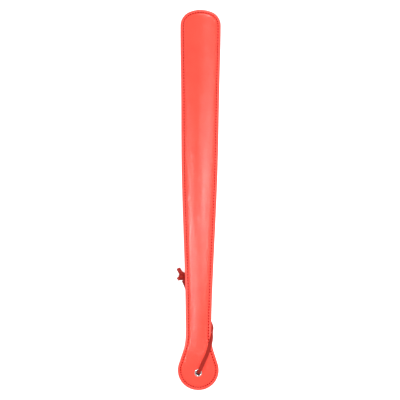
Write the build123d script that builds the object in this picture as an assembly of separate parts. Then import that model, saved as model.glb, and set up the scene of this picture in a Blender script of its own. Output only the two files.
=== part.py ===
from build123d import *
import math
import os

# A long leather-covered shoehorn with a hanging lace, lying hollow side down.
# Millimetres.  +Z is up, +Y runs along the shoehorn to the blade's tip, and the origin
# is under the middle of the shoehorn at the height of the table.

# --- plan shape ---
LENGTH = 420.0            # blade tip to the end of the hang tab
BLADE_WIDTH = 44.6        # widest, just below the tip
TIP_RADIUS = 34.0         # flat arch across the tip
CORNER_RADIUS = 15.5      # rounded corners of the tip
SIDE_POINTS = [(21.3, 133.0), (19.8, 33.0), (16.1, -66.0)]   # half width, place
WAIST_WIDTH = 28.1        # narrowest, where the handle meets the hang tab
WAIST_RADIUS = 60.0       # hollow curve between the handle and the flank of the tab
FLANK_ANGLE = 18.0        # slant of the tab's flanks off the long axis, degrees
TAB_RADIUS = 22.6         # round hang tab
TAB_Y = TAB_RADIUS - LENGTH / 2

# --- thickness ---
LEATHER = 1.2             # each leather face
CORE = 1.2                # spring steel blade between them
STITCH_INSET = 3.1        # edge to stitch line
CORE_INSET = 4.3          # edge to the steel, inside the stitches
FLANGE_HALF = LEATHER
PANEL_HALF = LEATHER + CORE / 2

# --- how the sheet is curved ---
BLADE_CURL = 46.0         # radius across the width in the blade
HANDLE_CURL = 32.0        # radius across the width in the handle
HANDLE_FROM, BLADE_FROM = -60.0, 140.0
TAB_FLAT, TAB_CURLED = -172.0, -132.0
FLAT_CURL = 5000.0        # radius that counts as flat, in the tab
ARCH_RADIUS = 2860.0      # long gentle arch from end to end
ARCH_APEX = -30.0
DIP_LENGTH = 38.0         # the tab dips to the table over about this length

# --- stitches ---
STITCH_COUNT = 278
STITCH_GAP = 0.6          # of each pitch, taken by the needle hole
THREAD_RADIUS = 0.32
THREAD_PROUD = 0.12       # thread centre above the leather

# --- eyelet ---
EYELET_Y = -189.8
BORE_RADIUS = 2.4
BARREL_RADIUS = 2.75
HEAD_RADIUS = 4.25
HEAD_HEIGHT = 0.9
WASHER_RADIUS = 4.1
WASHER_THICKNESS = 0.55
CRIMP_RADIUS = 3.6
CRIMP_THICKNESS = 0.4

# --- lace: a flat folded strip, stood in for by round tubes ---
LACE_DIAMETER = 3.2
FRONT_ROUTE = [
    (0.2, -189.4, 6.6), (0.2, -189.7, 8.5), (0.5, -189.4, 10.4), (1.1, -188.3, 11.9),
    (2.0, -186.4, 12.8), (3.6, -182.9, 12.8), (6.3, -176.5, 12.8), (10.3, -168.3, 13.4),
    (13.2, -161.0, 13.7), (15.2, -154.6, 13.2), (16.4, -149.0, 10.8), (16.3, -143.6, 7.4),
    (14.8, -138.2, 5.1), (11.9, -132.2, 3.7), (7.6, -125.2, 2.7), (1.8, -117.0, 2.3),
    (-4.2, -109.2, 3.0), (-9.0, -102.6, 4.6), (-12.8, -96.6, 5.2), (-15.3, -90.4, 5.4),
    (-16.4, -84.6, 5.0),
]
BACK_ROUTE = [
    (0.2, -189.4, 6.6), (0.15, -189.1, 4.9), (0.05, -188.3, 3.35), (-0.15, -186.85, 2.3),
    (-0.4, -184.4, 1.9), (-0.9, -180.4, 1.75), (-1.7, -173.3, 1.7), (-3.0, -161.0, 1.7),
    (-4.9, -145.0, 1.7), (-7.3, -128.5, 1.7), (-9.6, -114.5, 1.7), (-11.6, -103.8, 1.7),
    (-13.9, -95.8, 1.8), (-17.2, -88.6, 2.5),
]
UPPER_TAIL = [(-19.2, -81.6, 4.6), (-20.8, -79.0, 4.4), (-22.6, -76.5, 3.6)]
LOWER_TAIL = [(-19.6, -85.4, 4.2), (-21.0, -86.3, 4.7), (-22.3, -87.4, 5.6)]
KNOT_CENTRE = (-18.6, -84.3, 4.0)
KNOT_LENGTH = 10.6
KNOT_RADIUS = 3.6
KNOT_SLANT = 8.0
ARC_SHARE = 0.45          # of the shorter run beside a corner, taken by its arc

# --- working sizes of the cutting shapes ---
SHEET_REACH = 26.0        # half width of the shaping surfaces
SHEET_END = LENGTH / 2 + 5.0
SHEET_ROWS = 28
CUT_FLOOR = -25.0         # below and above everything
CUT_TOP = 35.0


def smoother(share):
    """Rise from 0 to 1 with no kink in slope or curvature."""
    share = min(max(share, 0.0), 1.0)
    return share ** 3 * (6 * share ** 2 - 15 * share + 10)


def curl_radius(y):
    """Radius across the width: a tight handle, a wider blade and a flat tab."""
    along = smoother((y - HANDLE_FROM) / (BLADE_FROM - HANDLE_FROM))
    bend = 1 / HANDLE_CURL + along * (1 / BLADE_CURL - 1 / HANDLE_CURL)
    bend *= smoother((y - TAB_FLAT) / (TAB_CURLED - TAB_FLAT))
    return 1 / max(bend, 1 / FLAT_CURL)


def arch_drop(y):
    """How far the long arch has fallen below its apex."""
    return (y - ARCH_APEX) ** 2 / (2 * ARCH_RADIUS)


def corner_centre():
    """Centre of the tip's right corner, whose arc meets the arch and the side."""
    x = BLADE_WIDTH / 2 - CORNER_RADIUS
    reach = TIP_RADIUS - CORNER_RADIUS
    return x, LENGTH / 2 - TIP_RADIUS + math.sqrt(reach ** 2 - x ** 2)


def apex_height():
    """Height of the arch that rests the blade's lower edges on the table."""
    centre_x, centre_y = corner_centre()
    heights = []
    for degrees in range(61):
        x = centre_x + CORNER_RADIUS * math.cos(math.radians(degrees))
        y = centre_y + CORNER_RADIUS * math.sin(math.radians(degrees))
        radius = curl_radius(y)
        fall = radius - math.sqrt((radius - FLANGE_HALF) ** 2 - x ** 2)
        heights.append(arch_drop(y) + fall)
    return max(heights)


APEX_HEIGHT = apex_height()
DIP = APEX_HEIGHT - arch_drop(-LENGTH / 2) - FLANGE_HALF


def crown(y):
    """Height of the middle of the thickness, on the centre line."""
    return APEX_HEIGHT - arch_drop(y) - DIP * math.exp(-(y + LENGTH / 2) / DIP_LENGTH)


def height(x, y, offset=0.0):
    """Height of the surface that lies offset above the middle of the thickness."""
    radius = curl_radius(y)
    return crown(y) - radius + math.sqrt((radius + offset) ** 2 - x ** 2)


def outline(inset=0.0):
    """Plan of the shoehorn, or of the line that runs inset inside its edge."""
    corner_x, corner_y = corner_centre()
    arch_y = LENGTH / 2 - TIP_RADIUS
    join = math.degrees(math.atan2(corner_y - arch_y, corner_x))
    slant = math.radians(FLANK_ANGLE)
    tab, hollow = TAB_RADIUS - inset, WAIST_RADIUS + inset
    tangent = (tab * math.cos(slant), TAB_Y + tab * math.sin(slant))
    waist_x = WAIST_WIDTH / 2 - inset
    flank = ((tab + hollow) * math.cos(slant) - waist_x - hollow) / math.sin(slant)
    waist_y = tangent[1] + hollow * math.sin(slant) + flank * math.cos(slant)
    bend = CenterArc((waist_x + hollow, waist_y), hollow, 180, FLANK_ANGLE)
    side = Spline(
        (BLADE_WIDTH / 2 - inset, corner_y),
        *[(half_width - inset, y) for half_width, y in SIDE_POINTS],
        (waist_x, waist_y),
        tangents=[(0, -1), (0, -1)],
    )
    right = [
        CenterArc((corner_x, corner_y), CORNER_RADIUS - inset, 0, join),
        side,
        bend,
        Line(bend @ 1, tangent),
    ]
    left = [mirror(edge, about=Plane.YZ) for edge in right]
    tip = CenterArc((0, arch_y), TIP_RADIUS - inset, join, 180 - 2 * join)
    end = CenterArc((0, TAB_Y), tab, 180 - FLANK_ANGLE, 180 + 2 * FLANK_ANGLE)
    return make_face([tip, end] + right + left)


def column(plan):
    """A tall block on this plan."""
    return extrude(Pos(0, 0, CUT_FLOOR) * plan, amount=CUT_TOP - CUT_FLOOR)


def under(offset):
    """Everything below the curved surface at this offset, lofted through arcs across it."""
    sections = []
    for row in range(SHEET_ROWS + 1):
        y = SHEET_END * (2 * row / SHEET_ROWS - 1)
        top = [Vector(x, y, height(x, y, offset)) for x in (-SHEET_REACH, 0, SHEET_REACH)]
        low = [Vector(x, y, CUT_FLOOR) for x in (SHEET_REACH, -SHEET_REACH)]
        sides = [Line(top[2], low[0]), Line(low[0], low[1]), Line(low[1], top[0])]
        sections.append(make_face([ThreePointArc(*top)] + sides))
    return loft(sections)


def eyelet_plane():
    """Plane through the middle of the thickness at the eyelet, square to the sheet."""
    slope = (crown(EYELET_Y + 1) - crown(EYELET_Y - 1)) / 2
    return Plane((0, EYELET_Y, crown(EYELET_Y)), x_dir=(1, 0, 0), z_dir=(0, -slope, 1))


def body_layers():
    """Steel core and the two leather faces around it, with the eyelet's hole."""
    hole = eyelet_plane() * Cylinder(BARREL_RADIUS, 10 * PANEL_HALF)
    full = column(outline())
    panel = column(outline(CORE_INSET))
    middle = under(0)
    core_top, core_bottom = under(CORE / 2), under(-CORE / 2)
    core = (panel & core_top) - core_bottom
    front = (full & under(FLANGE_HALF)) - middle + ((panel & under(PANEL_HALF)) - core_top)
    back = (full & middle) - under(-FLANGE_HALF) + ((panel & core_bottom) - under(-PANEL_HALF))
    return core - hole, front - core - hole, back - core - hole


def stitches(side):
    """A ring of separate stitches, lying in the leather of one side."""
    line = outline(STITCH_INSET).face().outer_wire()
    pitch = line.length / STITCH_COUNT
    span = pitch - STITCH_GAP - 2 * THREAD_RADIUS
    stitch = Cylinder(THREAD_RADIUS, span)
    for end in (-1, 1):
        stitch += Pos(0, 0, end * span / 2) * Sphere(THREAD_RADIUS)
    lift = side * (FLANGE_HALF + THREAD_PROUD)
    holes = []
    for i in range(STITCH_COUNT + 1):
        at = line.position_at(i * pitch, position_mode=PositionMode.LENGTH)
        holes.append(Vector(at.X, at.Y, height(at.X, at.Y, lift)))
    ring = []
    for start, stop in zip(holes, holes[1:]):
        ring.append(Plane((start + stop) / 2, z_dir=stop - start) * stitch)
    return ring


def turned(points, bulge):
    """Ring turned from a closed outline, whose first side is an arc through bulge."""
    sides = [ThreePointArc(points[0], bulge, points[1])]
    sides += [Line(a, b) for a, b in zip(points[1:], points[2:] + points[:1])]
    return eyelet_plane() * revolve(Plane.XZ * make_face(sides), axis=Axis.Z)


def eyelet():
    """Barrel with a rolled head in front, crimped over the washer behind."""
    seat = -PANEL_HALF - WASHER_THICKNESS
    foot = seat - CRIMP_THICKNESS
    points = [
        (HEAD_RADIUS, PANEL_HALF), (BORE_RADIUS, PANEL_HALF),
        (BORE_RADIUS, foot), (CRIMP_RADIUS, foot), (CRIMP_RADIUS, seat),
        (BARREL_RADIUS, seat), (BARREL_RADIUS, PANEL_HALF),
    ]
    middle = (HEAD_RADIUS + BORE_RADIUS) / 2
    return turned(points, (middle, PANEL_HALF + HEAD_HEIGHT))


def eyelet_washer():
    """Flat ring behind the leather, under the crimp."""
    ring = Cylinder(WASHER_RADIUS, WASHER_THICKNESS) - Cylinder(BARREL_RADIUS, WASHER_THICKNESS)
    return eyelet_plane() * Pos(0, 0, -PANEL_HALF - WASHER_THICKNESS / 2) * ring


def lace_tube(name, route):
    """Round tube along a route of runs joined by arcs."""
    points = [Vector(*point) for point in route]
    radii = []
    for before, corner, after in zip(points, points[1:], points[2:]):
        first, second = corner - before, after - corner
        half_turn = math.radians(first.get_angle(second)) / 2
        radii.append(ARC_SHARE * min(first.length, second.length) / math.tan(half_turn))
    path = FilletPolyline(*points, radius=radii)
    section = Plane(path @ 0, z_dir=path % 0) * Circle(LACE_DIAMETER / 2)
    tube = sweep(section, path=path)
    area = math.pi * LACE_DIAMETER ** 2 / 4
    print(name, "length", round(path.length, 1), "volume share", round(tube.volume / area / path.length, 4))
    print("  radii", [round(radius, 1) for radius in radii])
    return tube


def lace_knot():
    """Body of the overhand knot that ties the two strands."""
    straight = KNOT_LENGTH - 2 * KNOT_RADIUS
    knot = Cylinder(KNOT_RADIUS, straight)
    for end in (-1, 1):
        knot += Pos(0, 0, end * straight / 2) * Sphere(KNOT_RADIUS)
    return Pos(*KNOT_CENTRE) * Rot(0, 0, KNOT_SLANT) * Rot(90, 0, 0) * knot


def save(name, shape):
    """Write one node: a single solid, or a list of separate ones."""
    solids = shape if isinstance(shape, list) else [shape]
    solids = [solid for part in solids for solid in part.solids()]
    node = solids[0] if len(solids) == 1 else Compound(children=solids)
    export_step(node, f"parts/{name}.step")


def build():
    """Make every piece and write it."""
    os.makedirs("parts", exist_ok=True)
    core, front, back = body_layers()
    save("blade_core", core)
    save("front_leather", front)
    save("back_leather", back)
    save("needle_thread", stitches(1))
    save("bobbin_thread", stitches(-1))
    save("eyelet", eyelet())
    save("eyelet_washer", eyelet_washer())
    save("lace_front_strand", lace_tube("front strand", FRONT_ROUTE))
    save("lace_back_strand", lace_tube("back strand", BACK_ROUTE))
    save("lace_upper_tail", lace_tube("upper tail", UPPER_TAIL))
    save("lace_lower_tail", lace_tube("lower tail", LOWER_TAIL))
    save("lace_knot", lace_knot())


build()
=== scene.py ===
import math

import bpy
import bmesh
import numpy as np
from mathutils import Matrix, Vector, noise


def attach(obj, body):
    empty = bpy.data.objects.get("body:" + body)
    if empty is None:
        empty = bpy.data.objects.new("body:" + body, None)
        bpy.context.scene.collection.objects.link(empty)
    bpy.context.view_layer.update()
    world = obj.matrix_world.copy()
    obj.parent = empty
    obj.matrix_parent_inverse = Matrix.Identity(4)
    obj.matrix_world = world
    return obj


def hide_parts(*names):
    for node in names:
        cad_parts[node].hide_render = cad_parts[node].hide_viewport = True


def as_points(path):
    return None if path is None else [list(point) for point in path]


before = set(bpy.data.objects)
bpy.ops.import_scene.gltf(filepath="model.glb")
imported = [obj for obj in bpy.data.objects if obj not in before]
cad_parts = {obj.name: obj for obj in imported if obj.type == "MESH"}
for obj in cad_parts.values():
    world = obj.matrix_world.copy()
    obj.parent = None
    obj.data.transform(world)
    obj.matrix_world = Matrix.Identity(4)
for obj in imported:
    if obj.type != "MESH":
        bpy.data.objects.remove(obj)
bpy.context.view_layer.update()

MM = 0.001

# ---------------------------------------------------------------- the shoehorn's shape
# Sizes are in millimetres, as in the CAD model, and become metres when a mesh is made.
LENGTH = 420.0
BLADE_WIDTH = 44.6
TIP_RADIUS = 34.0         # flat arch across the tip
CORNER_RADIUS = 15.5
SIDE_POINTS = [(21.3, 133.0), (19.8, 33.0), (16.1, -66.0)]   # half width, place
WAIST_WIDTH = 28.1
WAIST_RADIUS = 60.0       # hollow of the waist
FLANK_ANGLE = math.radians(18.0)
TAB_RADIUS = 22.6
TAB_Y = TAB_RADIUS - LENGTH / 2
BLADE_CURL, HANDLE_CURL = 46.0, 32.0      # radii across the width
HANDLE_FROM, BLADE_FROM = -60.0, 140.0
TAB_FLAT, TAB_CURLED = -172.0, -132.0
FLAT_CURL = 5000.0        # radius that counts as flat
ARCH_RADIUS = 2860.0      # along the length
ARCH_APEX = -30.0
DIP_LENGTH = 38.0         # over which the tab bends down to the table
EDGE_HALF = 1.2           # half thickness of the stitched border
EYELET_Y = -189.8
EYELET_HOLE = 2.76        # radius of the hole in the leather
EYELET_DARK = (2.5, 2.9)  # radii between which the painted shade in the barrel gives way to bright nickel

STITCHES = 278
STEPS = 6                 # mesh steps along each stitch
HALF_STEPS = STITCHES * STEPS // 2
STITCH_INSET = 3.1
ACROSS = 10               # mesh steps across the middle of the panel
ARC_SAMPLES = 240         # points on each arc of the outline, before they are spaced evenly
SIDE_SAMPLES = 1500       # the same for the long side


def smoother(share):
    """Step from 0 to 1 without a kink at either end."""
    share = min(max(share, 0.0), 1.0)
    return share ** 3 * (6 * share ** 2 - 15 * share + 10)


def curl_radius(y):
    """Radius across the width at this place along the shoehorn."""
    along = smoother((y - HANDLE_FROM) / (BLADE_FROM - HANDLE_FROM))
    bend = 1 / HANDLE_CURL + along * (1 / BLADE_CURL - 1 / HANDLE_CURL)
    bend *= smoother((y - TAB_FLAT) / (TAB_CURLED - TAB_FLAT))
    return 1 / max(bend, 1 / FLAT_CURL)


def arch_drop(y):
    """How far the arch has fallen below its highest point."""
    return (y - ARCH_APEX) ** 2 / (2 * ARCH_RADIUS)


def corner_centre():
    """Centre of the rounded corner beside the tip."""
    x = BLADE_WIDTH / 2 - CORNER_RADIUS
    reach = TIP_RADIUS - CORNER_RADIUS
    return x, LENGTH / 2 - TIP_RADIUS + math.sqrt(reach ** 2 - x ** 2)


def apex_height():
    """Height of the arch that rests the blade's lower edges on the table."""
    centre_x, centre_y = corner_centre()
    heights = []
    for degrees in range(61):
        x = centre_x + CORNER_RADIUS * math.cos(math.radians(degrees))
        y = centre_y + CORNER_RADIUS * math.sin(math.radians(degrees))
        radius = curl_radius(y)
        heights.append(arch_drop(y) + radius - math.sqrt((radius - EDGE_HALF) ** 2 - x ** 2))
    return max(heights)


APEX_HEIGHT = apex_height()
DIP = APEX_HEIGHT - arch_drop(-LENGTH / 2) - EDGE_HALF


def crown(y):
    """Height of the middle of the sheet on the centre line."""
    return APEX_HEIGHT - arch_drop(y) - DIP * math.exp(-(y + LENGTH / 2) / DIP_LENGTH)


def surface(x, y, offset):
    """Point, in metres, that lies offset above the middle of the sheet."""
    radius = curl_radius(y)
    z = crown(y) - radius + math.sqrt((radius + offset) ** 2 - x ** 2)
    return Vector((x, y, z)) * MM


def clamped_cubic(knots, values):
    """Smooth curve through the values, level at both ends."""
    count = len(knots)
    system, right = np.zeros((count, count)), np.zeros(count)
    system[0, 0] = system[-1, -1] = 1
    gap = np.diff(knots)
    rise = np.diff(values) / gap
    for i in range(1, count - 1):
        system[i, i - 1:i + 2] = gap[i], 2 * (gap[i - 1] + gap[i]), gap[i - 1]
        right[i] = 3 * (gap[i] * rise[i - 1] + gap[i - 1] * rise[i])
    slope = np.linalg.solve(system, right)

    def curve(at):
        i = int(np.clip(np.searchsorted(knots, at) - 1, 0, count - 2))
        t, h = (at - knots[i]) / gap[i], gap[i]
        start = (1 + 2 * t) * (1 - t) ** 2 * values[i] + t * (1 - t) ** 2 * h * slope[i]
        return start + t * t * (3 - 2 * t) * values[i + 1] + t * t * (t - 1) * h * slope[i + 1]

    return curve


def right_half():
    """Right half of the outline, tip to tab: evenly spaced points and inward normals."""
    corner_x, corner_y = corner_centre()
    arch_y = LENGTH / 2 - TIP_RADIUS
    join = math.atan2(corner_y - arch_y, corner_x)
    waist_x = WAIST_WIDTH / 2
    hollow_x = waist_x + WAIST_RADIUS
    flank = (TAB_RADIUS + WAIST_RADIUS) * math.cos(FLANK_ANGLE) - hollow_x
    flank /= math.sin(FLANK_ANGLE)
    waist_y = TAB_Y + (TAB_RADIUS + WAIST_RADIUS) * math.sin(FLANK_ANGLE)
    waist_y += flank * math.cos(FLANK_ANGLE)
    knots = [waist_y] + [y for _, y in reversed(SIDE_POINTS)] + [corner_y]
    widths = [waist_x] + [x for x, _ in reversed(SIDE_POINTS)] + [BLADE_WIDTH / 2]
    side = clamped_cubic(np.array(knots), np.array(widths))

    def arc(x, y, radius, start, stop):
        turns = np.linspace(start, stop, ARC_SAMPLES)
        return [(x + radius * math.cos(turn), y + radius * math.sin(turn)) for turn in turns]

    rough = arc(0, arch_y, TIP_RADIUS, math.pi / 2, join)
    rough += arc(corner_x, corner_y, CORNER_RADIUS, join, 0)[1:]
    rough += [(side(y), y) for y in np.linspace(corner_y, waist_y, SIDE_SAMPLES)[1:]]
    rough += arc(hollow_x, waist_y, WAIST_RADIUS, math.pi, math.pi + FLANK_ANGLE)[1:]
    rough += arc(0, TAB_Y, TAB_RADIUS, FLANK_ANGLE, -math.pi / 2)
    rough = np.array(rough)
    run = np.concatenate([[0], np.cumsum(np.hypot(*np.diff(rough, axis=0).T))])
    even = np.linspace(0, run[-1], HALF_STEPS + 1)
    points = np.column_stack([np.interp(even, run, rough[:, k]) for k in (0, 1)])
    along = np.gradient(points, axis=0)
    along[0], along[-1] = (1, 0), (-1, 0)
    along /= np.hypot(*along.T)[:, None]
    return points, np.column_stack([along[:, 1], -along[:, 0]])


POINTS, INWARD = right_half()


def ring(inset):
    """Closed ring of plan points that lies inset inside the edge."""
    right = POINTS + INWARD * inset
    left = right[-2:0:-1] * (-1, 1)
    return np.vstack([right, left])


# ---------------------------------------------------------------- helpers
def new_piece(name, mesh, *materials, smooth=True):
    """Object with this mesh and these materials, linked to the scene."""
    piece = bpy.data.objects.new(name, mesh)
    bpy.context.scene.collection.objects.link(piece)
    for material in materials:
        mesh.materials.append(material)
    if smooth:
        mesh.polygons.foreach_set("use_smooth", [True] * len(mesh.polygons))
    return piece


def mesh_of(name, vertices, faces, kinds=None):
    """Mesh from points and faces; kinds gives each face the number of its material."""
    mesh = bpy.data.meshes.new(name)
    mesh.from_pydata(vertices, [], faces)
    if kinds:
        mesh.polygons.foreach_set("material_index", kinds)
    mesh.update()
    return mesh


def closed_mesh(name, vertices, faces, kinds=None):
    """Mesh of closed shapes, with every face turned outward."""
    mesh = mesh_of(name, vertices, faces, kinds)
    work = bmesh.new()
    work.from_mesh(mesh)
    bmesh.ops.recalc_face_normals(work, faces=work.faces)
    work.to_mesh(mesh)
    work.free()
    return mesh


def tube_faces(first, rows, sides):
    """Faces between rows of points, each row a closed section."""
    faces = []
    for a in range(first, first + (rows - 1) * sides, sides):
        for k in range(sides):
            j = (k + 1) % sides
            faces.append((a + k, a + sides + k, a + sides + j, a + j))
    return faces


def stand_in(piece, node):
    """Put a piece in the place of a CAD node."""
    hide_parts(node)
    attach(piece, "root")


class Shader:
    """A material under construction, with short names for its nodes."""

    def __init__(self, name, **values):
        self.material = bpy.data.materials.new(name)
        self.material.use_nodes = True
        self.tree = self.material.node_tree
        self.surface = self.tree.nodes["Principled BSDF"]
        for socket, value in values.items():
            self.surface.inputs[socket.replace("_", " ")].default_value = value
        self.place = self.node("ShaderNodeTexCoord").outputs["Object"]

    def node(self, kind, links=None, **settings):
        made = self.tree.nodes.new(kind)
        for setting, value in settings.items():
            setattr(made, setting, value)
        for socket, value in (links or {}).items():
            if isinstance(value, bpy.types.NodeSocket):
                self.tree.links.new(value, made.inputs[socket])
            else:
                made.inputs[socket].default_value = value
        return made

    def noise(self, scale, detail=3.0, roughness=0.55, place=None):
        links = {"Vector": place or self.place, "Scale": scale}
        links.update(Detail=detail, Roughness=roughness)
        return self.node("ShaderNodeTexNoise", links).outputs["Fac"]

    def stretched(self, *scale):
        links = {"Vector": self.place, "Scale": scale}
        return self.node("ShaderNodeMapping", links, vector_type="TEXTURE").outputs["Vector"]

    def ramp(self, value, *stops):
        made = self.node("ShaderNodeValToRGB", {"Fac": value})
        elements = made.color_ramp.elements
        for _ in stops[2:]:
            elements.new(0.5)
        for element, (position, colour) in zip(elements, stops):
            element.position = position
            element.color = (*colour, 1.0)
        return made.outputs["Color"]

    def span(self, value, low, high, start=0.0, stop=1.0):
        """Value mapped from start..stop to low..high."""
        links = {"Value": value, "From Min": start, "From Max": stop, "To Min": low, "To Max": high}
        return self.node("ShaderNodeMapRange", links).outputs["Result"]

    def bump(self, height, strength, distance, normal=None):
        links = {"Height": height, "Strength": strength, "Distance": distance}
        if normal:
            links["Normal"] = normal
        return self.node("ShaderNodeBump", links).outputs["Normal"]

    def put(self, socket, value):
        self.tree.links.new(value, self.surface.inputs[socket])


def shade(colour, factor):
    return tuple(min(1.0, channel * factor) for channel in colour)


def leather(name, colour, rough, grain, depth, gloss=1.0):
    """Finished leather: pebbled grain, swells, faint creases and uneven dye."""
    finish = {"Specular_IOR_Level": 0.38 * gloss, "Coat_Weight": 0.12 * gloss, "Coat_Roughness": 0.22}
    made = Shader(name, **finish)
    pale, deep = shade(colour, 1.06), shade(colour, 0.93)
    made.put("Base Color", made.ramp(made.noise(55, 4), (0.3, deep), (0.5, colour), (0.72, pale)))
    made.put("Roughness", made.span(made.noise(420, 2), rough - 0.05, rough + 0.07, 0.3, 0.7))
    cells = {"Vector": made.place, "Scale": grain, "Randomness": 0.9}
    gaps = made.node("ShaderNodeTexVoronoi", cells, feature="DISTANCE_TO_EDGE").outputs["Distance"]
    pebbles = made.span(gaps, 0, 1, 0.0, 0.22)
    swells = made.noise(400, 2)
    creases = made.noise(380, 4, 0.6, made.stretched(3.2, 0.8, 1.0))
    grained = made.bump(pebbles, 0.55, depth)
    swollen = made.bump(swells, 0.5, depth * 5, grained)
    creased = made.bump(creases, 0.5, depth * 3, swollen)
    made.put("Normal", creased)
    made.put("Coat Normal", creased)
    return made.material


def plain(name, colour, rough, scale, depth, **values):
    """Surface with one colour that varies a little, and a fine bump."""
    made = Shader(name, **values)
    tint = made.noise(scale, 3)
    made.put("Base Color", made.ramp(tint, (0.3, shade(colour, 0.85)), (0.7, shade(colour, 1.1))))
    made.put("Roughness", made.span(tint, rough - 0.05, rough + 0.08, 0.3, 0.7))
    made.put("Normal", made.bump(made.noise(scale * 4, 3), 0.4, depth))
    return made.material


def eyelet_metal():
    """Bright nickel head; the inside of the barrel is painted near black as shade."""
    made = Shader("eyelet_nickel", Metallic=1.0)
    plan = {0: made.place, 1: (1, 1, 0)}
    flat = made.node("ShaderNodeVectorMath", plan, operation="MULTIPLY").outputs["Vector"]
    ends = {0: flat, 1: (0, EYELET_Y * MM, 0)}
    reach = made.node("ShaderNodeVectorMath", ends, operation="DISTANCE").outputs["Value"]
    outside = made.span(reach, 0.0, 1.0, *(radius * MM for radius in EYELET_DARK))
    # the barrel's inside is painted near black: painted shade in the hole
    painted_bore_shade, nickel = (0.02, 0.015, 0.012), (0.80, 0.81, 0.81)
    made.put("Base Color", made.ramp(outside, (0.0, painted_bore_shade), (1.0, nickel)))
    made.put("Roughness", made.span(outside, 0.6, 0.14))
    made.put("Normal", made.bump(made.noise(3000, 2), 0.3, 0.000004))
    return made.material


# ---------------------------------------------------------------- materials
RED = (0.82, 0.060, 0.038)
PANEL = leather("panel_leather", RED, 0.15, 1500, 0.00005)
BORDER = leather("border_leather", (0.84, 0.060, 0.038), 0.36, 1500, 0.00005)
EDGE = plain("edge_paint", (0.62, 0.03, 0.02), 0.35, 300, 0.00003)
# dark red at the needle holes between the stitches is painted shade in the holes
NEEDLE_HOLE_SHADE = plain("needle_hole_painted_shade", (0.32, 0.0006, 0.0003), 0.8, 900, 0.00002, Specular_IOR_Level=0.0)
LINING = leather("lining_leather", shade(RED, 0.9), 0.5, 1300, 0.00005)
LACE = leather("lace_leather", (0.27, 0.011, 0.006), 0.5, 2600, 0.00003, 0.3)
LACE_CUT = plain("lace_cut_end", (0.42, 0.035, 0.02), 0.6, 1200, 0.00004, Specular_IOR_Level=0.15)
THREAD = plain("waxed_thread", (0.76, 0.036, 0.022), 0.45, 2500, 0.00005)
NICKEL = plain("nickel", (0.78, 0.80, 0.80), 0.16, 900, 0.000005, Metallic=1.0)
EYELET_METAL = eyelet_metal()
STEEL = plain("spring_steel", (0.45, 0.46, 0.48), 0.3, 600, 0.00001, Metallic=1.0)


# ---------------------------------------------------------------- leather faces
# Section through the border: inset from the edge, height above the middle of the sheet.
SECTION = [
    (0.06, 0.0), (0.0, 0.3), (0.0, 0.72), (0.09, 1.0), (0.32, 1.16), (0.7, 1.2), (1.4, 1.22),
    (2.0, 1.2), (2.3, 1.12), (2.5, 1.0), (3.1, 0.88), (3.7, 1.02), (3.95, 1.26), (4.3, 1.5),
    (5.0, 1.71), (6.0, 1.81), (7.6, 1.84), (9.6, 1.86), (12.0, 1.87),
]
EDGE_RINGS, BORDER_RINGS = 3, 12   # rings of the section that are edge paint, then border
PIT_DEPTH = 0.4
STITCH_STEPS = (2, 3)              # mesh steps that are always under the thread
PIT_REACH = 0.65
PUCKER, PUCKER_FROM, PUCKER_TO = 0.045, 0.5, 2.6   # height, and reach beside the stitches
PANEL_FROM = 4.0                   # inset at which the raised panel begins
CREASE = (-166.0, 8.0, 0.03)       # middle, spread and height of the crease band at the tab
UNDER_INSETS = (4.0, 12.0)         # rings that close a face against the middle of the sheet


def leather_height(x, y, inset, offset, step):
    """Height of the leather, with needle holes, puckers, creases and soft unevenness."""
    phase = (step % STEPS) / STEPS
    beside = inset - STITCH_INSET
    if step % STEPS == 0 and abs(beside) < PIT_REACH:
        offset -= PIT_DEPTH * (1 - abs(beside) / PIT_REACH / 2)
    if PUCKER_FROM < abs(beside) < PUCKER_TO:
        offset -= PUCKER * math.cos(2 * math.pi * phase)
    if inset > PANEL_FROM:
        middle, spread, tall = CREASE
        band = math.exp(-((y - middle) / spread) ** 2)
        offset += tall * band * math.sin(1.7 * y + 0.12 * x + 1.5 * noise.noise((x / 9, y / 9, 3)))
        offset += 0.07 * noise.noise((x / 7, y / 16, 0.5)) + 0.03 * noise.noise((x / 3, y / 5, 7.5))
    return offset


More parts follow.
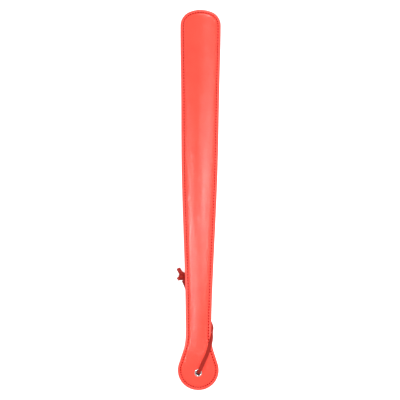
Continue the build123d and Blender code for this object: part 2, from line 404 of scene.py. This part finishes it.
def leather_face(name, side, *materials):
    """One leather face, closed against the middle of the sheet; side is 1 for the front."""
    total = 2 * HALF_STEPS
    vertices, faces, kinds = [], [], []

    def add_ring(inset, offset):
        first = len(vertices)
        for step, (x, y) in enumerate(ring(inset)):
            shaped = leather_height(x, y, inset, offset, step) if offset > 0.5 else offset
            vertices.append(surface(x, y, side * shaped))
        return first

    def add_faces(a, b, kind_of):
        for i in range(total):
            j = (i + 1) % total
            face = (a + i, b + i, b + j, a + j)
            faces.append(face if side > 0 else face[::-1])
            kinds.append(kind_of(i))

    def fill(a, inset, offset, flip):
        """Rows across the middle, from the right of a ring to its left."""
        places = ring(inset)
        before = None
        for i in range(1, HALF_STEPS):
            row = [a + i]
            for k in range(1, ACROSS):
                x, y = places[i] * (1 - 2 * k / ACROSS, 1)
                shaped = leather_height(x, y, inset + 1, offset, 1) if offset > 0.5 else offset
                vertices.append(surface(x, y, side * shaped))
                row.append(len(vertices) - 1)
            row.append(a + total - i)
            if before:
                made = list(zip(before, row, row[1:], before[1:]))
            else:
                made = [(a, p, q) for p, q in zip(row, row[1:])]
            faces.extend(made if flip else [face[::-1] for face in made])
            kinds.extend([0] * len(made))
            before = row
        made = [(a + HALF_STEPS, q, p) for p, q in zip(before, before[1:])]
        faces.extend(made if flip else [face[::-1] for face in made])
        kinds.extend([0] * len(made))

    starts = [add_ring(inset, offset) for inset, offset in SECTION]
    for k, (a, b) in enumerate(zip(starts, starts[1:])):
        inner = SECTION[k + 1][0]

        def kind_of(step, k=k, inner=inner):
            beside = max(abs(SECTION[k][0] - STITCH_INSET), abs(inner - STITCH_INSET))
            # faces at the needle holes between stitches take material 3, the painted shade
            if beside < PIT_REACH and step % STEPS not in STITCH_STEPS:
                return 3
            return 2 if k < EDGE_RINGS else 1 if k < BORDER_RINGS else 0

        add_faces(a, b, kind_of)
    fill(starts[-1], *SECTION[-1], flip=side < 0)
    under = [starts[0]] + [add_ring(inset, 0.0) for inset in UNDER_INSETS]
    for a, b in zip(under, under[1:]):
        add_faces(b, a, lambda step: 0)
    fill(under[-1], UNDER_INSETS[-1], 0.0, flip=side > 0)
    return new_piece(name, mesh_of(name, vertices, faces, kinds), *materials)


PUNCH_DEPTH = 12.0                 # deeper than the sheet is thick


def eyelet_matrix():
    """Place of the eyelet: its axis is square to the tab."""
    slope = (crown(EYELET_Y + 1) - crown(EYELET_Y - 1)) / 2
    turn = Vector((0, 0, 1)).rotation_difference(Vector((0, -slope, 1))).to_matrix().to_4x4()
    return Matrix.Translation(Vector((0, EYELET_Y, crown(EYELET_Y))) * MM) @ turn


def punch(piece):
    """Cut the eyelet's hole through a leather face."""
    radius, depth = EYELET_HOLE * MM, PUNCH_DEPTH * MM
    work = bmesh.new()
    bmesh.ops.create_cone(work, cap_ends=True, segments=48, radius1=radius, radius2=radius,
                          depth=depth, matrix=eyelet_matrix())
    mesh = bpy.data.meshes.new("punch")
    work.to_mesh(mesh)
    work.free()
    tool = bpy.data.objects.new("punch", mesh)
    bpy.context.scene.collection.objects.link(tool)
    cut = piece.modifiers.new("hole", "BOOLEAN")
    cut.operation, cut.object, cut.solver = "DIFFERENCE", tool, "EXACT"
    shaped = piece.evaluated_get(bpy.context.evaluated_depsgraph_get())
    result = bpy.data.meshes.new_from_object(shaped)
    piece.modifiers.clear()
    piece.data = result
    bpy.data.objects.remove(tool)


front_cover = leather_face("front_cover", 1, PANEL, BORDER, EDGE, NEEDLE_HOLE_SHADE)
back_cover = leather_face("back_cover", -1, LINING, LINING, EDGE, NEEDLE_HOLE_SHADE)
punch(front_cover)
stand_in(front_cover, "front_leather")
punch(back_cover)
stand_in(back_cover, "back_leather")


# ---------------------------------------------------------------- stitches
STITCH_RADIUS = 0.46
STITCH_SHARE = 0.58       # of the pitch that a stitch shows
STITCH_LIFT = 1.1         # of the thread's middle above the middle of the sheet
STITCH_DIP = 0.3          # how much lower the ends of a stitch lie
STITCH_SLANT = 0.13       # sideways lean of each stitch, mm at its ends
STITCH_FLAT = 1.1         # width of a stitch over its height
STITCH_ROWS, STITCH_SIDES = 9, 10


def stitch_ring(name, side):
    """Every stitch of one side: a rounded grain of thread that dips into its holes."""
    places = ring(STITCH_INSET)
    total = len(places)
    vertices, faces = [], []
    rows, sides = STITCH_ROWS, STITCH_SIDES
    for first in range(0, total, STEPS):
        start, stop = places[first], places[(first + STEPS) % total]
        middle = places[first + STEPS // 2]
        along = (stop - start) / np.hypot(*(stop - start))
        lean = np.array([-along[1], along[0]])
        length = np.hypot(*(stop - start)) * STITCH_SHARE / 2
        base = len(vertices)
        for i in range(rows):
            share = 2 * i / (rows - 1) - 1
            x, y = middle + along * length * share + lean * STITCH_SLANT * share
            fat = STITCH_RADIUS * max(1 - share ** 4, 0.04) ** 0.5
            lift = side * (STITCH_LIFT - STITCH_DIP * share ** 4)
            centre = surface(x, y, lift)
            up = (surface(x, y, lift + side) - centre).normalized() * side
            across = Vector((lean[0], lean[1], 0))
            for k in range(sides):
                turn = 2 * math.pi * k / sides
                spoke = across * math.cos(turn) * STITCH_FLAT + up * math.sin(turn)
                vertices.append(centre + spoke * fat * MM)
        faces += tube_faces(base, rows, sides)
        faces.append(tuple(range(base, base + sides)))
        faces.append(tuple(range(base + (rows - 1) * sides, base + rows * sides)))
    return new_piece(name, closed_mesh(name, vertices, faces), THREAD)


stand_in(stitch_ring("top_stitches", 1), "needle_thread")
stand_in(stitch_ring("bottom_stitches", -1), "bobbin_thread")


# ---------------------------------------------------------------- lace
LACE_WIDTH = 3.8
LACE_THICK = 1.9
SWELL, SWELL_REACH = 0.5, 5.0     # the strip bunches up inside the eyelet
ROLL_FROM, ROLL_LENGTH = -166.0, 40.0             # where the front strand turns over
SECTION_STEPS = 28
SQUARENESS = 0.62         # 1 gives an oval section, less a squarer one
SEAM_DEPTH = 0.5
SEAMS = ((0.2, 0.32, 1.0), (-0.3, 0.28, 0.7))     # share of the width, spread, share of depth
STEEP = 0.35              # level part of the direction below which a strip counts as upright
END_SIZE = 0.35           # size of the section at a rounded end
FRONT_ROUTE = [
    (0.0, -189.9, 6.6), (0.1, -190.0, 8.5), (0.5, -189.6, 10.3), (1.1, -188.3, 11.6),
    (2.0, -186.4, 12.3), (3.6, -182.9, 12.2), (6.3, -176.5, 12.2), (10.1, -168.3, 13.1),
    (12.3, -161.0, 13.7), (13.9, -154.6, 13.8), (15.0, -149.0, 12.0), (15.2, -144.0, 8.3),
    (14.9, -139.3, 5.3), (11.5, -132.2, 3.7), (7.6, -125.2, 2.7), (1.8, -117.0, 2.3),
    (-4.2, -109.2, 3.0), (-9.0, -102.6, 4.6), (-12.8, -96.6, 5.2), (-15.3, -90.4, 5.4),
    (-16.4, -84.6, 5.0),
]
BACK_ROUTE = [
    (0.0, -189.9, 6.6), (0.0, -190.2, 5.0), (0.0, -190.0, 3.4), (-0.2, -187.8, 2.2),
    (-0.4, -184.4, 1.9), (-0.9, -180.4, 1.75), (-1.7, -173.3, 1.7), (-3.0, -161.0, 1.7),
    (-4.9, -145.0, 1.7), (-7.3, -128.5, 1.7), (-9.6, -114.5, 1.7), (-11.6, -103.8, 1.7),
    (-13.9, -95.8, 1.8), (-17.2, -88.6, 2.5),
]
UPPER_TAIL = [(-19.2, -81.6, 5.4), (-21.2, -78.2, 5.4), (-23.1, -75.0, 4.4)]
LOWER_TAIL = [(-19.6, -85.0, 4.6), (-21.4, -86.0, 5.0), (-22.9, -87.3, 6.2)]
UPPER_TAIL_SIZE = (4.7, 3.7)      # width and thickness
LOWER_TAIL_SIZE = (4.1, 3.7)
KNOT_CENTRE = Vector((-18.5, -83.6, 4.5))
KNOT_TILT = math.radians(8)
WRAP_STEPS, WRAP_TURNS, WRAP_START = 90, 1.9, math.radians(200)
WRAP_REACH, WRAP_LENGTH = 2.65, 6.8
WRAP_SIZE = (3.3, 2.7)
CORE_POINTS, CORE_LENGTH = 11, 9.8
CORE_SIZE = (4.2, 3.6)


def spline_points(route):
    """Points along the smooth line of a route, in metres."""
    curve = bpy.data.curves.new("route", "CURVE")
    curve.dimensions = "3D"
    curve.resolution_u = 10
    spline = curve.splines.new("NURBS")
    spline.points.add(len(route) - 1)
    for point, place in zip(spline.points, route):
        point.co = (*(Vector(place) * MM), 1.0)
    spline.order_u = 3
    spline.use_endpoint_u = True
    holder = bpy.data.objects.new("route", curve)
    line = bpy.data.meshes.new_from_object(holder)
    points = [vertex.co.copy() for vertex in line.vertices]
    bpy.data.objects.remove(holder)
    bpy.data.meshes.remove(line)
    return points


def strap_section(width, thick):
    """Section of the folded strip: flat faces, round sides, and the seam between its plies."""
    outline = []
    for k in range(SECTION_STEPS):
        turn = 2 * math.pi * k / SECTION_STEPS
        c, s = math.cos(turn), math.sin(turn)
        x = math.copysign(abs(c) ** SQUARENESS, c) * width / 2
        z = math.copysign(abs(s) ** SQUARENESS, s) * thick / 2
        if s > 0:
            for place, spread, share in SEAMS:
                z -= SEAM_DEPTH * share * math.exp(-((x - width * place) / spread) ** 2)
        outline.append((x, z))
    return outline


def strap(name, line, roll_at, size=(LACE_WIDTH, LACE_THICK), round_ends=(False, False), swell=0.0):
    """Strip swept along a line of points; roll_at turns its flat side about the line."""
    section = strap_section(*size)
    rounding = size[1] / 2 * MM
    count, sides = len(line), len(section)
    lengths = [0.0]
    for a, b in zip(line, line[1:]):
        lengths.append(lengths[-1] + (b - a).length)
    vertices = []
    side_before = Vector((1, 0, 0))
    for i, centre in enumerate(line):
        ahead = (line[min(i + 1, count - 1)] - line[max(i - 1, 0)]).normalized()
        flat = ahead.cross(Vector((0, 0, 1)))
        if flat.length < STEEP:
            flat = side_before - ahead * side_before.dot(ahead)
        flat.normalize()
        side_before = flat
        up = flat.cross(ahead)
        roll = roll_at(centre / MM)
        wide = flat * math.cos(roll) - up * math.sin(roll)
        tall = wide.cross(ahead)
        share = 1.0
        for wanted, gap in zip(round_ends, (lengths[i], lengths[-1] - lengths[i])):
            if wanted and gap < rounding:
                rise = math.sqrt(max(1 - (1 - gap / rounding) ** 2, 0))
                share = min(share, END_SIZE + (1 - END_SIZE) * rise)
        bunched = 1 + swell * math.exp(-(lengths[i] / MM / SWELL_REACH) ** 2)
        for x, z in section:
            vertices.append(centre + (wide * x + tall * z * bunched) * share * MM)
    faces = tube_faces(0, count, sides)
    kinds = [0] * len(faces) + [1, 1]
    faces.append(tuple(range(sides)))
    faces.append(tuple(range((count - 1) * sides, count * sides)))
    return new_piece(name, closed_mesh(name, vertices, faces, kinds), LACE, LACE_CUT)


def front_roll(place):
    """The strip lies flat on the tab, stands against the edge and lies flat underneath."""
    return math.pi * smoother((place.y - ROLL_FROM) / ROLL_LENGTH)


def no_roll(place):
    return 0.0


def knot_piece():
    """The knot: a strip wound round the strand that goes through it."""
    tilt = Matrix.Rotation(KNOT_TILT, 3, "Z")
    wraps, core = [], []
    for i in range(WRAP_STEPS + 1):
        share = i / WRAP_STEPS
        turn = 2 * math.pi * WRAP_TURNS * share + WRAP_START
        reach = WRAP_REACH * (1 + 0.12 * math.sin(2.3 * turn))
        along = (share - 0.5) * WRAP_LENGTH
        local = Vector((reach * math.cos(turn), along, reach * 0.98 * math.sin(turn)))
        wraps.append((KNOT_CENTRE + tilt @ local) * MM)
    for i in range(CORE_POINTS):
        along = (i / (CORE_POINTS - 1) - 0.5) * CORE_LENGTH
        local = Vector((0.4 * math.sin(i / 3), along, 0.2))
        core.append((KNOT_CENTRE + tilt @ local) * MM)
    around = strap("knot_wraps", wraps, no_roll, WRAP_SIZE, (True, True))
    through = strap("knot_core", core, no_roll, CORE_SIZE, (True, True))
    work = bmesh.new()
    work.from_mesh(around.data)
    work.from_mesh(through.data)
    mesh = bpy.data.meshes.new("lace_knot_body")
    work.to_mesh(mesh)
    work.free()
    for part in (around, through):
        bpy.data.objects.remove(part)
    return new_piece("lace_knot_body", mesh, LACE, LACE_CUT)


def declare_strand(line):
    """Work out a strand's length and its points as lists; nothing is done with them."""
    length = sum((b - a).length for a, b in zip(line, line[1:]))
    tuple(line[0])
    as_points(line)


front_line, back_line = spline_points(FRONT_ROUTE), spline_points(BACK_ROUTE)
front_strand = strap("front_strand", front_line, front_roll, swell=SWELL)
back_strand = strap("back_strand", back_line, no_roll, swell=SWELL)
knot = knot_piece()
upper_tail = strap("upper_tail", spline_points(UPPER_TAIL), no_roll, UPPER_TAIL_SIZE, (False, True))
lower_tail = strap("lower_tail", spline_points(LOWER_TAIL), no_roll, LOWER_TAIL_SIZE)
stand_in(front_strand, "lace_front_strand")
stand_in(back_strand, "lace_back_strand")
stand_in(knot, "lace_knot")
stand_in(upper_tail, "lace_upper_tail")
stand_in(lower_tail, "lace_lower_tail")
declare_strand(front_line)
declare_strand(back_line)


# ---------------------------------------------------------------- carried-over metal
for node, material in (("eyelet", EYELET_METAL), ("eyelet_washer", NICKEL), ("blade_core", STEEL)):
    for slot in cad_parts[node].material_slots:
        slot.material = material


# ---------------------------------------------------------------- floor, light and camera
# Sizes from here on are in metres.
TABLE_HALF = 2.0
LAMP_COLOUR = (0.93, 0.97, 1.0)
SUN_PLACE = Vector((0.4, 0.8, 0.9))       # the sun shines from here to the origin
CAMERA_PLACE = Vector((0.0006, 0.0002, 2.0))
CAMERA_LEAN = math.radians(0.4)
VIEW_WIDTH = 0.4416       # that the picture shows at the height of the leather
VIEW_HEIGHT = 0.004
SENSOR_WIDTH = 36.0       # millimetres


def floor():
    """White table top that glows a little, so that it stays white in the picture."""
    glow = {"Emission_Color": (1, 1, 1, 1), "Emission_Strength": 0.9}
    made = Shader("white_table", Roughness=0.7, Specular_IOR_Level=0.1, **glow)
    grey, pale = shade((1, 1, 1), 0.60), shade((1, 1, 1), 0.62)
    made.put("Base Color", made.ramp(made.noise(3, 2), (0.3, grey), (0.7, pale)))
    corners = [(x * TABLE_HALF, y * TABLE_HALF, 0) for x, y in ((-1, -1), (1, -1), (1, 1), (-1, 1))]
    mesh = mesh_of("table", corners, [(0, 1, 2, 3)])
    new_piece("table", mesh, made.material, smooth=False)


def softbox(name, place, size, power, spin):
    """Lamp that hangs level and is turned about its own axis."""
    light = bpy.data.lights.new(name, "AREA")
    light.shape, light.size, light.size_y, light.energy = "RECTANGLE", size[0], size[1], power
    light.color = LAMP_COLOUR
    hang(name, light, place, (0, 0, math.radians(spin)))


def hang(name, light, place, rotation):
    """Put a lamp in the scene."""
    holder = bpy.data.objects.new(name, light)
    holder.location = place
    holder.rotation_euler = rotation
    bpy.context.scene.collection.objects.link(holder)


def studio():
    """Soft white surroundings, four lamps above the table and a high window."""
    world = bpy.data.worlds.new("studio")
    world.use_nodes = True
    background = world.node_tree.nodes["Background"]
    background.inputs["Color"].default_value = (1, 1, 1, 1)
    background.inputs["Strength"].default_value = 0.5
    bpy.context.scene.world = world
    softbox("lamp_right", (0.31, 0.03, 1.0), (0.06, 0.12), 2.9, 15)
    softbox("panel_right", (0.70, 0.055, 1.0), (0.46, 0.13), 1.8, 8)
    softbox("lamp_left", (-0.72, -0.10, 1.0), (0.12, 0.09), 5.2, -12)
    softbox("lamp_low", (-0.25, -0.235, 1.0), (0.08, 0.14), 2.1, 15)
    sun = bpy.data.lights.new("high_window", "SUN")
    sun.energy, sun.angle = 2.25, 0.5
    hang("high_window", sun, SUN_PLACE, SUN_PLACE.to_track_quat("Z", "Y").to_euler())
    bpy.context.scene.view_settings.view_transform = "Standard"
    bpy.context.scene.view_settings.look = "None"


def camera():
    """Straight down, from far enough for hardly any perspective."""
    lens = bpy.data.cameras.new("camera")
    lens.sensor_width = SENSOR_WIDTH
    lens.lens = SENSOR_WIDTH * (CAMERA_PLACE.z - VIEW_HEIGHT) / VIEW_WIDTH
    holder = bpy.data.objects.new("camera", lens)
    holder.location = CAMERA_PLACE
    holder.rotation_euler = (0, 0, CAMERA_LEAN)
    bpy.context.scene.collection.objects.link(holder)
    bpy.context.scene.camera = holder


floor()
studio()
camera()
